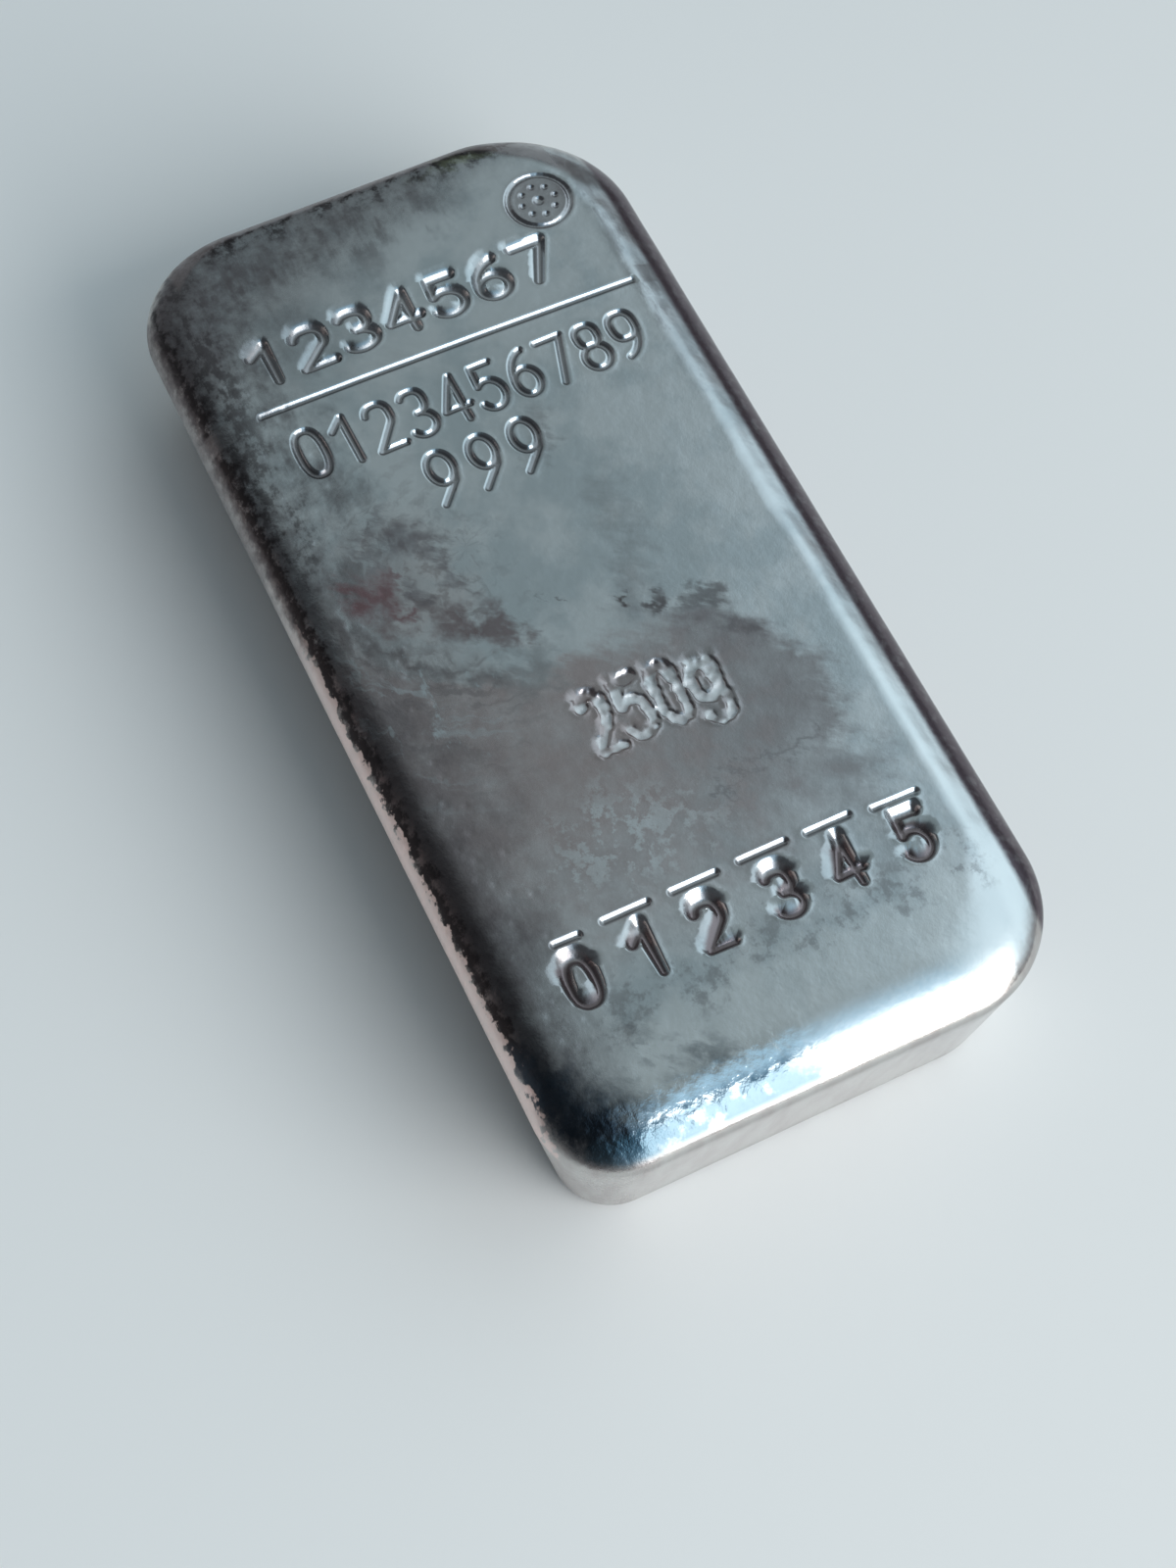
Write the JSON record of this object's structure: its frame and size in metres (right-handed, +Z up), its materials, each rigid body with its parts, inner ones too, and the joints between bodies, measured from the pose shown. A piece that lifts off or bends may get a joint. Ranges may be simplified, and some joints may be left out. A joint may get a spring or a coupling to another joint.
{
  "type": "cast silver bar",
  "caption": "Small cast silver ingot: rounded oblong block with tapered mould walls, a rolled shoulder and a flat open face that carries stamped marks.",
  "frame": {"origin": "under the middle of the bar, on the flat face that it lies on", "axes": "+X along the length towards the end at the top of the stamped text, +Y across towards the start of the text lines, +Z up out of the open face"},
  "size_m": [0.065, 0.0316, 0.0127],
  "materials": {
    "silver": "cast silver, satin open face with grey and brown tarnish, bright mould walls"
  },
  "bodies": {
    "root": {"silver_bar": "silver"}
  },
  "joints": []
}
